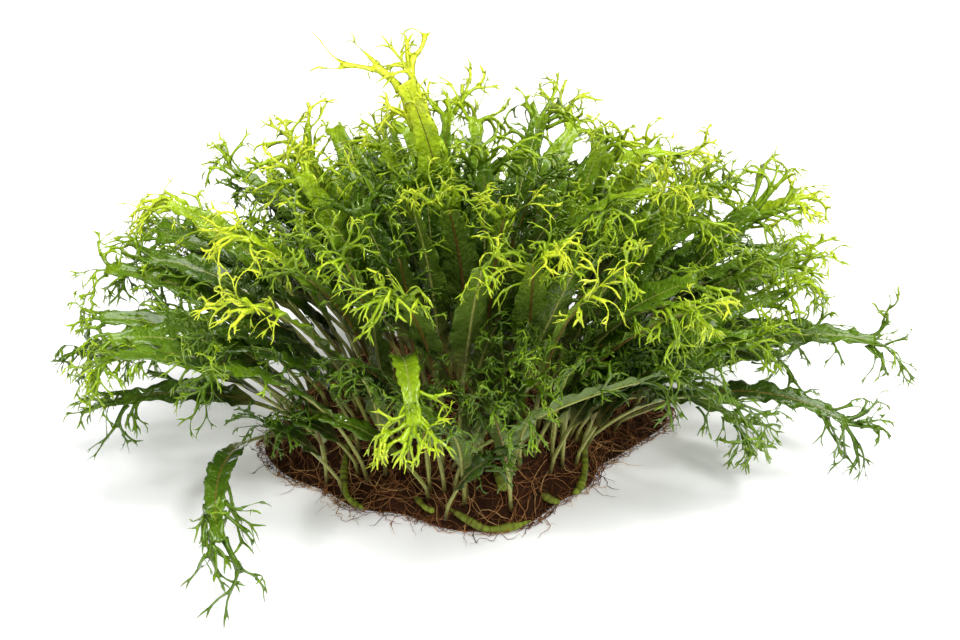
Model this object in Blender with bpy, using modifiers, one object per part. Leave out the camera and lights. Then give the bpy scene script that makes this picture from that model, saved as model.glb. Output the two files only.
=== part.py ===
"""A clump of crested java fern, resting on its own pad of matted roots.

Metres, +Z up. The origin is on the surface that the clump rests on, under the middle of the root
mat. The mat's front corner points along -Y. Each frond is one open strip, laid along a bent centre
line and given its thickness by Solidify: a narrow stalk, a strap-shaped blade, and a crest that
forks into three arms of two tips each. Each rhizome is a bevelled curve on the flank of the mat.
"""

import math

import bmesh
import bpy
import numpy as np

# Root mat: a pad with a nearly rectangular outline, thinning out to a fringe on the ground.
MAT_LENGTH = 0.182
MAT_WIDTH = 0.162
MAT_HEIGHT = 0.031
MAT_TURN = math.radians(54.5)
MAT_CORNER = 4.2
MAT_RIPPLE = 0.025
# Waves of the outline: how many go round, how strong each is and where it starts.
MAT_WAVES = ((5, 1.0, 0.6), (9, 0.7, 2.0), (14, 0.5, 0.0))
MAT_SEGMENTS = 56
# Share of the height against share of the outline, from the fringe to the crown.
MAT_PROFILE = ((0.0, 1.0), (0.06, 1.0), (0.30, 0.92), (0.62, 0.84), (0.86, 0.72), (0.96, 0.50), (1.0, 0.25))

# Fronds: sizes across the strip, and shares of the length where blade and crest begin.
FROND_THICKNESS = 0.0011
STALK_HALF_WIDTH = 0.0014
BLADE_START = 0.30
CREST_START = 0.80
STALK_ROWS = 4
BLADE_ROWS = 8
# The blade swells by a sine to these powers, and keeps this share of its width up to the crest.
SWELL_SKEW = 0.75
SWELL_FULLNESS = 0.7
NECK_SHARE = 0.42
# The crest's arms part across the blade's end, fork, and end in tips. Each tip has its share of the
# length, its share of the arm's own distance across, and its distance from the arm by the spread.
CREST_ARMS = 3
CREST_SPREAD = 0.019
CREST_PARTS = (1.0, 0.36, -0.36, -1.0)
CREST_FORK = 0.89
CREST_NOTCH = 0.894
FORK_ACROSS = 0.62
CREST_TIPS = ((0.995, 1.05, 0.26), (0.985, 0.90, -0.20))
ARM_HALF_WIDTH = 0.0017
STEPS = 41
DROOP_POWER = 1.5
SWING_POWER = 1.4
ROLL_HEIGHT = 0.03
GROUND_GAP = 0.0016
STAND_OFF = 0.0011
FOOT_RELIEF = 0.0022

# Fronds placed singly: name, foot across and back, heading, rise, droop, length, blade width, swing,
# roll, youth. Heading 0 is +X and 90 is +Y; rise is the stalk's lean up from level at the foot, droop
# the fall of the tip from it, swing the turn of the heading, and roll the turn of the blade about its
# own centre line, all in degrees. Youth runs from 0, old and dark, to 1, new and yellow-green.
PLACED_FRONDS = (
    ("frond_tallest", -0.004, -0.012, 110, 88, 34, 0.186, 0.0165, 70, -60, 1.0),
    ("frond_trailing_left", -0.084, -0.034, 246, 26, 62, 0.176, 0.0120, 50, 6, 0.3),
    ("frond_front_hanging", -0.030, -0.060, 274, 78, 168, 0.154, 0.0120, 6, 0, 1.0),
    ("frond_front_level", -0.016, -0.086, 190, 60, 70, 0.082, 0.0100, -16, -30, 0.9),
    ("frond_pale_upright", 0.014, -0.068, 0, 69, 6, 0.114, 0.0185, 8, -100, 0.3),
    ("frond_pale_leaning", -0.006, -0.080, -6, 36, 28, 0.122, 0.0160, 4, -50, 0.4),
    ("frond_right_broad", 0.040, -0.052, -2, 40, 44, 0.132, 0.0190, 6, 42, 0.5),
    ("frond_right_low", 0.056, -0.030, -16, 34, 96, 0.102, 0.0140, -10, 0, 0.8),
    ("frond_right_long", 0.084, 0.002, -4, 32, 56, 0.150, 0.0150, -10, 26, 0.3),
    ("frond_right_fallen", 0.072, -0.022, -12, 32, 80, 0.148, 0.0135, -16, 20, 0.3),
    ("frond_right_quilted", 0.050, -0.038, 4, 48, 54, 0.140, 0.0180, 4, 40, 0.5),
    ("frond_right_leaning", 0.046, -0.026, 12, 64, 16, 0.132, 0.0165, 0, 64, 0.5),
    ("frond_right_dark", 0.070, -0.006, 10, 60, 30, 0.140, 0.0190, 0, 52, 0.1),
    ("frond_right_loop", 0.026, 0.034, 16, 92, 150, 0.182, 0.0155, -10, 0, 0.9),
    ("frond_right_tip", 0.056, 0.012, -2, 53, 44, 0.170, 0.0150, 6, 28, 0.8),
    ("frond_upper_right", 0.024, -0.010, -20, 88, 104, 0.170, 0.0150, 0, 10, 0.7),
    ("frond_left_dark", -0.082, -0.010, 180, 35, 64, 0.130, 0.0170, 8, -34, 0.0),
    ("frond_left_low", -0.070, -0.042, 200, 36, 66, 0.120, 0.0150, -14, -30, 0.2),
    ("frond_left_olive", -0.072, -0.026, 174, 42, 34, 0.106, 0.0160, 0, -48, 0.4),
    ("frond_left_level", -0.064, 0.002, 178, 54, 66, 0.136, 0.0180, 0, -30, 0.1),
    ("frond_left_tip", -0.060, 0.018, 172, 56, 42, 0.146, 0.0170, 4, -36, 0.9),
    ("frond_left_upright", -0.040, 0.004, 160, 78, 28, 0.144, 0.0160, 0, -70, 0.6),
    ("frond_upper_left", -0.032, -0.026, 160, 78, 40, 0.146, 0.0160, 0, -50, 0.9),
    ("frond_middle_dark", -0.014, -0.048, 150, 74, 20, 0.132, 0.0200, 0, -50, 0.0),
    ("frond_middle_left", -0.012, -0.026, 110, 85, 14, 0.120, 0.0170, 0, -20, 0.1),
    ("frond_middle_back", 0.010, -0.034, 92, 84, 12, 0.140, 0.0180, 0, 0, 0.1),
)

# Fronds by rule: feet on a sunflower spiral over the mat, leaning further the nearer its edge.
RULED_FRONDS = 27
SPIRAL_TURN = math.pi * (3 - math.sqrt(5))
FOOT_SHARE = 0.84
RULED_LENGTH = (0.126, 0.154)
RULED_WIDTH = (0.013, 0.018)
HEADING_JITTER = 14
RISE_INSIDE = 88
RISE_LOSS = 42
RISE_POWER = 1.2
RISE_JITTER = 4
DROOP_INSIDE = 16
DROOP_GAIN = 62
DROOP_LEAN = 0.55
DROOP_JITTER = 8
SWING_JITTER = 22
ROLL_TO_LIGHT = (-8, 44)
# Change of the lean for fronds that head to the front, by a power of how far, and to the back.
FRONT_LEAN_LOSS = 0.62
FRONT_LEAN_POWER = 1.5
BACK_LEAN_GAIN = 0.12
# Clearance between fronds, tested on points this far apart, from a share of the length outwards.
CLEARANCE = 0.0034
CLOUD_SPACING = 0.004
CLOUD_START = 0.02
CREST_WIDENING = (0.27, 1.18)
TURN_TRIES = (0, 7, -7, 14, -14, 22, -22, 30, -30, 40, -40, 52, -52)
RISE_TRIES = (0, 7, -7, 14)

# Rhizomes, which lie on the flank of the mat: name, radius, and the way along as pairs of the angle
# round the mat in degrees and the height above the ground.
RHIZOME_GAP = 0.0004
RHIZOMES = (
    ("rhizome_left_curved", 0.0024, ((224, 0.027), (226, 0.020), (229, 0.012), (234, 0.006), (241, 0.0032))),
    ("rhizome_front_left_stub", 0.0022, ((255, 0.010), (259, 0.0075), (262, 0.0075))),
    ("rhizome_front_runner", 0.0026, ((266, 0.010), (271, 0.007), (276, 0.0034), (282, 0.0032), (288, 0.0036))),
    ("rhizome_front_stub", 0.0028, ((280, 0.024), (281, 0.020), (282, 0.016))),
    ("rhizome_front_right_stub", 0.0027, ((294, 0.010), (297, 0.006), (300, 0.0036))),
    ("rhizome_right_curved", 0.0026, ((326, 0.022), (322, 0.017), (316, 0.010), (309, 0.0046), (306, 0.0034))),
    ("rhizome_back_right", 0.0026, ((40, 0.018), (48, 0.013), (56, 0.010), (64, 0.0085))),
    ("rhizome_back_left", 0.0025, ((128, 0.022), (134, 0.016), (142, 0.010), (148, 0.0050))),
)

rng = np.random.default_rng(11)


def mat_radius(angle):
    """Distance from the middle of the mat to its fringe, towards an angle in the world."""
    along = abs(math.cos(angle - MAT_TURN)) / (MAT_LENGTH / 2)
    across = abs(math.sin(angle - MAT_TURN)) / (MAT_WIDTH / 2)
    outline = (along**MAT_CORNER + across**MAT_CORNER) ** (-1 / MAT_CORNER)
    ripple = sum(strength * math.sin(count * angle + start) for count, strength, start in MAT_WAVES)
    return outline * (1 + MAT_RIPPLE * ripple)


def mat_height(share):
    """Height of the mat's surface at a share of the way out to its fringe."""
    heights = [height for height, out in reversed(MAT_PROFILE)]
    shares = [out for height, out in reversed(MAT_PROFILE)]
    return MAT_HEIGHT * float(np.interp(share, [0.0] + shares, [1.0] + heights))


def mat_share(height):
    """Share of the way out to the fringe at which the mat's flank has this height."""
    return float(np.interp(height / MAT_HEIGHT, *zip(*MAT_PROFILE)))


def foot_on_mat(x, y):
    """The point where a frond leaves the mat above (x, y)."""
    share = math.hypot(x, y) / mat_radius(math.atan2(y, x))
    return np.array([x, y, mat_height(share) + STAND_OFF + FOOT_RELIEF * share])


def centre_line(foot, row):
    """A frond's centre line and the unit vectors across its strip, one of each for every step.

    The frond rises from its foot, bends over and turns, and runs along the ground where it meets it.
    The strip lies level from edge to edge, but for its roll, which fades out near the ground.
    """
    heading, rise, droop, length, width, swing, roll = row
    share = np.linspace(0.0, 1.0, STEPS)
    lift = np.radians(rise - droop * share**DROOP_POWER)
    turn = np.radians(heading + swing * share**SWING_POWER)
    heads = np.column_stack([np.cos(lift) * np.cos(turn), np.cos(lift) * np.sin(turn), np.sin(lift)])
    strides = (heads[1:] + heads[:-1]) / 2 * length / (STEPS - 1)
    points = foot + np.vstack([np.zeros(3), np.cumsum(strides, axis=0)])
    points[:, 2] = np.maximum(points[:, 2], GROUND_GAP)
    level = np.column_stack([-np.sin(turn), np.cos(turn), np.zeros(STEPS)])
    above = np.cross(heads, level)
    tilt = np.radians(roll) * np.sqrt(share) * np.clip(points[:, 2] / ROLL_HEIGHT, 0.0, 1.0)
    return points, level * np.cos(tilt)[:, None] + above * np.sin(tilt)[:, None]


def half_width(share, width):
    """Half the strip's width at a share of the frond's length: stalk, then a lance-shaped blade."""
    if share < BLADE_START:
        return STALK_HALF_WIDTH
    blade = (share - BLADE_START) / (CREST_START - BLADE_START)
    swell = math.sin(math.pi * min(blade, 1.0) ** SWELL_SKEW) ** SWELL_FULLNESS
    return STALK_HALF_WIDTH + (width / 2 - STALK_HALF_WIDTH) * max(swell, NECK_SHARE * blade)


def strip_points(width):
    """The frond laid flat: its points as (share of length, offset across), and its faces.

    The stalk and blade are a ladder of quads. The crest's three arms start from the blade's end,
    and each of them splits into two pointed tips.
    """
    shares = list(np.linspace(0.0, BLADE_START, STALK_ROWS))
    shares += list(np.linspace(BLADE_START, CREST_START, BLADE_ROWS + 1)[1:])
    flat, faces = [], []
    for k, share in enumerate(shares[:-1]):
        half = half_width(share, width)
        flat += [(share, half), (share, -half)]
        if k:
            faces.append((2 * k - 2, 2 * k - 1, 2 * k + 1, 2 * k))
    half = half_width(CREST_START, width)
    last = len(flat)
    flat += [(CREST_START, half * part) for part in CREST_PARTS]
    faces.append((last - 2, last - 1, last + 3, last + 2, last + 1, last))
    for arm in range(CREST_ARMS):
        middle = CREST_SPREAD * (1 - arm)
        fork = middle * FORK_ACROSS
        at = len(flat)
        flat += [(CREST_FORK, fork + ARM_HALF_WIDTH), (CREST_NOTCH, fork), (CREST_FORK, fork - ARM_HALF_WIDTH)]
        flat += [(share, middle * own + CREST_SPREAD * aside) for share, own, aside in CREST_TIPS]
        root = last + arm
        faces.append((root, root + 1, at + 2, at + 1, at))
        faces.append((at, at + 1, at + 3))
        faces.append((at + 1, at + 2, at + 4))
    return flat, faces


def laid_out(foot, row):
    """World points of a frond's strip, its faces, and a cloud of points for the clearance test."""
    width = row[4]
    line, across = centre_line(foot, row)
    steps = np.linspace(0.0, 1.0, STEPS)

    def at(share, offset):
        place = [np.interp(share, steps, line[:, axis]) for axis in range(3)]
        side = [np.interp(share, steps, across[:, axis]) for axis in range(3)]
        place = np.array(place) + np.array(side) * offset
        place[2] = max(place[2], GROUND_GAP)
        return place

    flat, faces = strip_points(width)
    corners = np.array([at(share, offset) for share, offset in flat])
    cloud = []
    for share in np.linspace(CLOUD_START, 1.0, STEPS):
        crest = CREST_SPREAD * np.interp(share, (CREST_START, 1.0), CREST_WIDENING)
        half = half_width(share, width) if share < CREST_START else crest
        count = max(1, math.ceil(2 * half / CLOUD_SPACING))
        cloud += [at(share, offset) for offset in np.linspace(-half, half, count + 1)]
    return corners, faces, np.array(cloud)


def stands_clear(cloud, others):
    """True where a frond's cloud keeps the clearance to every frond already placed."""
    for other in others:
        if (cloud.min(axis=0) > other.max(axis=0) + CLEARANCE).any():
            continue
        if (cloud.max(axis=0) < other.min(axis=0) - CLEARANCE).any():
            continue
        gaps = ((cloud[:, None, :] - other[None, :, :]) ** 2).sum(axis=2)
        if gaps.min() < CLEARANCE**2:
            return False
    return True


def lean_share(heading):
    """How far a frond by rule leans out: little at the front, most at the two sides."""
    back = math.sin(math.radians(heading))
    return 1.0 - FRONT_LEAN_LOSS * max(-back, 0.0) ** FRONT_LEAN_POWER + BACK_LEAN_GAIN * max(back, 0.0)


def ruled_rows():
    """Preferred foot and shape of each frond by rule."""
    rows = []
    for k in range(RULED_FRONDS):
        out = math.sqrt((k + 0.5) / RULED_FRONDS)
        angle = k * SPIRAL_TURN
        radius = out * FOOT_SHARE * mat_radius(angle)
        heading = math.degrees(angle) + rng.uniform(-HEADING_JITTER, HEADING_JITTER)
        lean = lean_share(heading)
        rise = RISE_INSIDE - RISE_LOSS * out**RISE_POWER * lean + rng.uniform(-RISE_JITTER, RISE_JITTER)
        bow = 1 - DROOP_LEAN + DROOP_LEAN * lean
        droop = DROOP_INSIDE + DROOP_GAIN * out * bow + rng.uniform(-DROOP_JITTER, DROOP_JITTER)
        length = rng.uniform(*RULED_LENGTH)
        width = rng.uniform(*RULED_WIDTH)
        swing = rng.uniform(-SWING_JITTER, SWING_JITTER)
        roll = rng.uniform(*ROLL_TO_LIGHT) * math.copysign(1.0, math.cos(math.radians(heading)))
        foot = (radius * math.cos(angle), radius * math.sin(angle))
        rows.append((foot, (heading, rise, droop, length, width, swing, roll), rng.uniform(0, 1)))
    return rows


def lay_out_fronds():
    """Every frond's name, corners and faces: the placed ones, then each by rule where it fits."""
    fronds, clouds = [], []
    for name, x, y, *row, youth in PLACED_FRONDS:
        corners, faces, cloud = laid_out(foot_on_mat(x, y), row)
        fronds.append((name, corners, faces, youth))
        clouds.append(cloud)
    for foot, (heading, rise, *rest), youth in ruled_rows():
        tries = [(turn, lift) for lift in RISE_TRIES for turn in TURN_TRIES]
        for turn, lift in tries:
            row = (heading + turn, rise + lift, *rest)
            corners, faces, cloud = laid_out(foot_on_mat(*foot), row)
            if stands_clear(cloud, clouds):
                fronds.append((f"frond_{len(fronds) + 1:02d}", corners, faces, youth))
                clouds.append(cloud)
                break
    return fronds


def material(name, colour, roughness):
    made = bpy.data.materials.new(name)
    made.use_nodes = True
    shader = made.node_tree.nodes["Principled BSDF"]
    shader.inputs["Base Color"].default_value = (*colour, 1.0)
    shader.inputs["Roughness"].default_value = roughness
    shader.inputs["Metallic"].default_value = 0.0
    return made


def add_object(name, data, look):
    made = bpy.data.objects.new(name, data)
    data.materials.append(look)
    clump.objects.link(made)
    return made


def add_root_mat():
    """The pad: one ring of points for each level, with a flat underside and a low crown."""
    mesh = bmesh.new()
    rings = []
    for height, out in MAT_PROFILE:
        ring = []
        for k in range(MAT_SEGMENTS):
            angle = 2 * math.pi * k / MAT_SEGMENTS
            radius = out * mat_radius(angle)
            x, y = radius * math.cos(angle), radius * math.sin(angle)
            ring.append(mesh.verts.new((x, y, height * MAT_HEIGHT)))
        rings.append(ring)
    for low, high in zip(rings, rings[1:]):
        for k in range(MAT_SEGMENTS):
            after = (k + 1) % MAT_SEGMENTS
            mesh.faces.new((low[k], low[after], high[after], high[k]))
    mesh.faces.new(reversed(rings[0]))
    crown = mesh.verts.new((0.0, 0.0, MAT_HEIGHT))
    for k in range(MAT_SEGMENTS):
        mesh.faces.new((rings[-1][k], rings[-1][(k + 1) % MAT_SEGMENTS], crown))
    data = bpy.data.meshes.new("root_mat")
    mesh.to_mesh(data)
    mesh.free()
    data.shade_smooth()
    data.set_sharp_from_angle(angle=math.radians(50))
    add_object("root_mat", data, root_brown)


def add_frond(name, corners, faces, look):
    data = bpy.data.meshes.new(name)
    data.from_pydata([tuple(corner) for corner in corners], [], faces)
    made = add_object(name, data, look)
    thicken = made.modifiers.new("Thickness", "SOLIDIFY")
    thicken.thickness = FROND_THICKNESS
    thicken.offset = 0.0


def add_rhizome(name, radius, way):
    """A rod along the mat's flank, clear of it by the gap."""
    curve = bpy.data.curves.new(name, "CURVE")
    curve.dimensions = "3D"
    curve.bevel_depth = radius
    curve.bevel_resolution = 1
    curve.use_fill_caps = True
    line = curve.splines.new("POLY")
    stops = np.linspace(0, len(way) - 1, 3 * len(way) - 2)
    angles = np.radians(np.interp(stops, range(len(way)), [angle for angle, height in way]))
    heights = np.interp(stops, range(len(way)), [height for angle, height in way])
    line.points.add(len(stops) - 1)
    for point, angle, height in zip(line.points, angles, heights):
        out = mat_share(max(height - radius, 0.0)) * mat_radius(angle) + radius + RHIZOME_GAP
        point.co = (out * math.cos(angle), out * math.sin(angle), height, 1.0)
    add_object(name, curve, rhizome_green)


def main():
    add_root_mat()
    for name, radius, way in RHIZOMES:
        add_rhizome(name, radius, way)
    for name, corners, faces, youth in lay_out_fronds():
        add_frond(name, corners, faces, leaf_greens[min(int(youth * 3), 2)])


for old in list(bpy.data.objects):
    bpy.data.objects.remove(old, do_unlink=True)
clump = bpy.data.collections.new("java_fern_clump")
bpy.context.scene.collection.children.link(clump)
root_brown = material("matted_root", (0.07, 0.025, 0.015), 0.8)
rhizome_green = material("rhizome", (0.35, 0.42, 0.04), 0.45)
leaf_greens = [
    material("old_leaf", (0.03, 0.11, 0.015), 0.35),
    material("grown_leaf", (0.07, 0.22, 0.02), 0.35),
    material("young_leaf", (0.30, 0.48, 0.03), 0.35),
]
main()
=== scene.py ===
"""The looks of a clump of crested java fern on its pad of matted roots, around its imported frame."""

import math
from collections import namedtuple

import bpy
import numpy as np
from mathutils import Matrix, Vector


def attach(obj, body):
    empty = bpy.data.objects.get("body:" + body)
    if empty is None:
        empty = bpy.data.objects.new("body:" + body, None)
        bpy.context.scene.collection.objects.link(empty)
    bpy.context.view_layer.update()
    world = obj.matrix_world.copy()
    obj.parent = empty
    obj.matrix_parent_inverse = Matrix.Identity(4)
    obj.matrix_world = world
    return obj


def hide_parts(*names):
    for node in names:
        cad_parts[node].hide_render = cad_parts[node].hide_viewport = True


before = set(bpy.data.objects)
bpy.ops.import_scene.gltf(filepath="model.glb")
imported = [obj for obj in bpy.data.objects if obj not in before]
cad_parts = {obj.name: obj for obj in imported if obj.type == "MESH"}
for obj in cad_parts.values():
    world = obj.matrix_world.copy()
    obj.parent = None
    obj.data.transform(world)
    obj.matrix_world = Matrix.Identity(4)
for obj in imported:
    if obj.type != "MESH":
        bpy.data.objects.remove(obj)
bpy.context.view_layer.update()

# ---- Core of the root mat ----
# The heart of the mat is old roots and silt, felted into a dark lumpy pad with a nearly rectangular
# outline. It is hardly seen between the roots that cover it, and it gives them something to lie on.

MAT_LENGTH = 0.182
MAT_WIDTH = 0.162
MAT_HEIGHT = 0.031
MAT_TURN = math.radians(54.5)
MAT_CORNER = 4.2
MAT_RIPPLE = 0.025
# Waves of the outline: how many go round, how strong each is and where it starts.
MAT_WAVES = ((5, 1.0, 0.6), (9, 0.7, 2.0), (14, 0.5, 0.0))
# Share of the height against share of the outline, from the fringe to the crown.
MAT_PROFILE = ((0.0, 1.0), (0.06, 1.0), (0.30, 0.92), (0.62, 0.84), (0.86, 0.72), (0.96, 0.50), (1.0, 0.25))
CORE_AROUND = 180
CORE_RINGS = 40
CORE_TOP = 0.985  # share of the way up to the middle at which the last ring lies
CORE_FLANK = 0.3  # share of the way up from which the core sinks below the roots
CORE_INSET = 0.0022
CORE_LUMP = 0.0016
CORE_TONE = 0.25
CORE_BROWNS = ((0.0, (0.010, 0.004, 0.002)), (0.5, (0.055, 0.020, 0.008)), (1.0, (0.180, 0.070, 0.025)))


def mat_radius(angle):
    """Distance from the middle of the mat to its fringe, towards an angle in the world."""
    along = abs(np.cos(angle - MAT_TURN)) / (MAT_LENGTH / 2)
    across = abs(np.sin(angle - MAT_TURN)) / (MAT_WIDTH / 2)
    outline = (along**MAT_CORNER + across**MAT_CORNER) ** (-1 / MAT_CORNER)
    ripple = sum(strength * np.sin(count * angle + start) for count, strength, start in MAT_WAVES)
    return outline * (1 + MAT_RIPPLE * ripple)


def mat_height(share):
    """Height of the mat's surface at a share of the way out to its fringe."""
    heights = [height for height, out in reversed(MAT_PROFILE)]
    shares = [out for height, out in reversed(MAT_PROFILE)]
    return MAT_HEIGHT * np.interp(share, [0.0] + shares, [1.0] + heights)


def mat_share(height):
    """Share of the way out to the fringe at which the mat's flank has this height."""
    return np.interp(height / MAT_HEIGHT, *zip(*MAT_PROFILE))


def mat_way(climb):
    """Height and share of the outline, for a way up the flank from 0 at the ground to 1 at the middle."""
    knees = np.array(MAT_PROFILE + ((1.0, 0.0),)) * (MAT_HEIGHT, MAT_LENGTH / 2)
    strides = np.hypot(*np.diff(knees, axis=0).T)
    reach = np.concatenate([[0.0], np.cumsum(strides)]) / strides.sum()
    height, out = knees.T
    return np.interp(climb, reach, height), np.interp(climb, reach, out / (MAT_LENGTH / 2))


# What a mark says of a point: its place across and along a leaf, how much of it is rib, its tone,
# whether it is on the underside, and how rusty its rib is.
ACROSS, ALONG, RIB, TONE, UNDER, RUST = range(6)


def blank_marks(rings):
    """Marks of zero for every point of the rings."""
    return np.zeros(rings.shape[:3] + (6,))


class Skin:
    """A mesh that grows by closed tubes, each of them a row of rings with the same number of points."""

    # A tube's wall takes this share of its cell on the map, and its two ends are discs in the rest.
    WALL = 0.9
    END_RADIUS = 0.04
    END_PLACES = ((0.25, 0.95), (0.75, 0.95))

    def __init__(self):
        self.points, self.marks, self.corners, self.sizes, self.map = [], [], [], [], []
        self.total = 0

    def add(self, rings, marks, cells):
        """Adds tubes from rings of points [tube, ring, turn, xyz], with six marks for each point."""
        count, steps, around, _ = rings.shape
        step, turn = (grid.ravel() for grid in np.indices((steps - 1, around)))
        corner_step = np.stack([step, step, step + 1, step + 1], axis=1)
        corner_turn = np.stack([turn, turn + 1, turn + 1, turn], axis=1)
        wall = corner_step * around + corner_turn % around
        wall_map = np.stack([corner_turn / around, self.WALL * corner_step / (steps - 1)], axis=2)
        loop = np.arange(around)
        bearing = loop * math.tau / around
        disc = self.END_RADIUS * np.column_stack([np.cos(bearing), np.sin(bearing)])
        ends = np.stack([loop[::-1], loop + (steps - 1) * around])
        ends_map = np.stack([disc[::-1] + self.END_PLACES[0], disc + self.END_PLACES[1]])
        tube = np.concatenate([wall.ravel(), ends.ravel()])
        tube_map = np.concatenate([wall_map.reshape(-1, 2), ends_map.reshape(-1, 2)])
        starts = self.total + np.arange(count) * steps * around
        self.corners.append((tube + starts[:, None]).ravel())
        self.map.append((cells[:, None, :2] + tube_map * cells[:, None, 2:]).reshape(-1, 2))
        self.sizes.append(np.tile([4] * len(wall) + [around] * 2, count))
        self.points.append(rings.reshape(-1, 3))
        self.marks.append(marks.reshape(-1, 6))
        self.total += count * steps * around

    def build(self, name, finish):
        """Makes the piece, with its marks as the attributes leaf and look."""
        points, marks, corners, sizes, flat = (
            np.concatenate(part) for part in (self.points, self.marks, self.corners, self.sizes, self.map)
        )
        mesh = bpy.data.meshes.new(name)
        mesh.vertices.add(len(points))
        mesh.vertices.foreach_set("co", points.ravel())
        mesh.loops.add(len(corners))
        mesh.loops.foreach_set("vertex_index", corners)
        mesh.polygons.add(len(sizes))
        mesh.polygons.foreach_set("loop_start", np.cumsum(sizes) - sizes)
        mesh.update(calc_edges=True)
        mesh.shade_smooth()
        mesh.uv_layers.new(name="OFBake").data.foreach_set("uv", flat.ravel())
        for attribute, columns in (("leaf", slice(0, 3)), ("look", slice(3, 6))):
            made = mesh.attributes.new(attribute, "FLOAT_VECTOR", "POINT")
            made.data.foreach_set("vector", marks[:, columns].ravel())
        mesh.materials.append(finish)
        piece = bpy.data.objects.new(name, mesh)
        bpy.context.scene.collection.objects.link(piece)
        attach(piece, "root")
        return piece


CELL_FILL = 0.94  # share of its cell's side that a tube takes, so that its neighbours stay clear


def map_cells(count, left, low, wide, high):
    """A grid of cells for so many tubes, over part of the map: left, low, width and height of each."""
    across = max(1, round(math.sqrt(count * wide / high)))
    down = math.ceil(count / across)
    k = np.arange(count)
    size = np.array([wide / across, high / down])
    corner = np.column_stack([left + size[0] * (k % across), low + size[1] * (k // across)])
    return np.hstack([corner, np.tile(CELL_FILL * size, (count, 1))])


def wire(tree, kind, inputs=None, **settings):
    """Adds a shader node with its inputs set or linked, and gives back its first output."""
    made = tree.nodes.new("ShaderNode" + kind)
    for key, value in settings.items():
        setattr(made, key, value)
    for socket, value in (inputs or {}).items():
        if isinstance(value, bpy.types.NodeSocket):
            tree.links.new(value, made.inputs[socket])
        else:
            made.inputs[socket].default_value = value
    return made.outputs[0]


def ramp(tree, fac, stops):
    """A colour ramp over (position, colour) stops."""
    out = wire(tree, "ValToRGB", {"Fac": fac})
    band = out.node.color_ramp
    while len(band.elements) < len(stops):
        band.elements.new(1.0)
    for element, (position, colour) in zip(band.elements, stops):
        element.position = position
        element.color = (*colour, 1.0)
    return out


def new_finish(name, **sockets):
    """A material with these values on its shader's own sockets, its node tree and its shader."""
    made = bpy.data.materials.new(name)
    made.use_nodes = True
    shader = made.node_tree.nodes["Principled BSDF"]
    for socket, value in sockets.items():
        shader.inputs[socket.replace("_", " ")].default_value = value
    return made, made.node_tree, shader


def mark_parts(tree, name):
    """The three numbers of a mesh's leaf or look attribute."""
    vector = wire(tree, "Attribute", attribute_name=name).node.outputs["Vector"]
    return wire(tree, "SeparateXYZ", {"Vector": vector}).node.outputs


def root_finish(name, stops, roughness, bump_scale, bump):
    """Bark-like skin, its colour varied along the piece by its tone mark and by noise."""
    made, tree, shader = new_finish(
        name, Roughness=roughness, Specular_IOR_Level=0.25, Specular_Tint=(1.0, 0.7, 0.5, 1.0)
    )
    tone = mark_parts(tree, "look")[0]
    place = wire(tree, "TexCoord").node.outputs["Object"]
    noise = wire(tree, "TexNoise", {"Vector": place, "Scale": 260.0, "Detail": 3.0})
    shift = wire(tree, "Math", {0: noise, 1: 0.5, 2: tone}, operation="MULTIPLY_ADD")
    shift = wire(tree, "Math", {0: shift, 1: 0.25}, operation="SUBTRACT")
    tree.links.new(ramp(tree, shift, stops), shader.inputs["Base Color"])
    grain = wire(tree, "TexNoise", {"Vector": place, "Scale": bump_scale, "Detail": 4.0})
    rough = wire(tree, "Bump", {"Height": grain, "Strength": bump, "Distance": 0.0006})
    tree.links.new(rough, shader.inputs["Normal"])
    return made


def core_rings():
    """Rings of the core, from the ground up to the middle, with lumps made by crossed waves."""
    climb = np.linspace(0.0, CORE_TOP, CORE_RINGS)[:, None]
    angle = np.linspace(0.0, math.tau, CORE_AROUND, endpoint=False)[None, :]
    height, share = mat_way(climb)
    lump = np.sin(23 * angle + 9 * climb) * np.sin(31 * climb * math.pi + 7 * angle)
    lump = lump + 0.7 * np.sin(41 * angle - 17 * climb * math.pi) * np.sin(19 * angle + 43 * climb)
    lump = CORE_LUMP * lump
    sunk = CORE_INSET * np.clip((climb - CORE_FLANK) * 5, 0.0, 1.0)
    out = share * mat_radius(angle) - CORE_INSET + lump * np.minimum(climb * 8, 1.0)
    rise = height - sunk + lump * np.clip(climb * 4 - 1, 0.0, 0.8)
    out, rise = np.maximum(out, 0.0005), np.maximum(rise, 0.0002)
    return np.stack([out * np.cos(angle), out * np.sin(angle), rise], axis=2)


core = Skin()
rings = core_rings()[None]
marks = blank_marks(rings)
marks[..., TONE] = CORE_TONE
core.add(rings, marks, np.array([[0.0, 0.0, 1.0, 1.0]]))
core_piece = core.build("root_core", root_finish("root_core", CORE_BROWNS, 0.9, 900.0, 0.8))
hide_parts("root_mat")

# ---- Roots ----
# Fine wiry roots, dark red-brown with copper ones among them. They wander over the mat in every
# direction, tangled with each other, and stray ends lie on the ground round it.

ROOTS = 1650
ROOT_POINTS = 12
ROOT_STEP = 0.0034
ROOT_RADIUS = (0.00012, 0.00028)
ROOT_LIFT = 0.0018
ROOT_DEPTH = (-0.6, 1.0)  # how deep or high in the tangle a root lies, in lifts
ROOT_CURL = 0.16
ROOT_WANDER = 0.34
ROOT_TONE = (0.54, 0.22)
ROOT_TAPER = ((0.0, 0.08, 0.7, 1.0), (0.4, 1.0, 0.9, 0.3))
# Roots start up to this share of the way to the middle, crowded on the flank by this power.
ROOT_START = 0.9
ROOT_CROWDING = 1.5
ROOT_FLOOR = 0.00035
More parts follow.
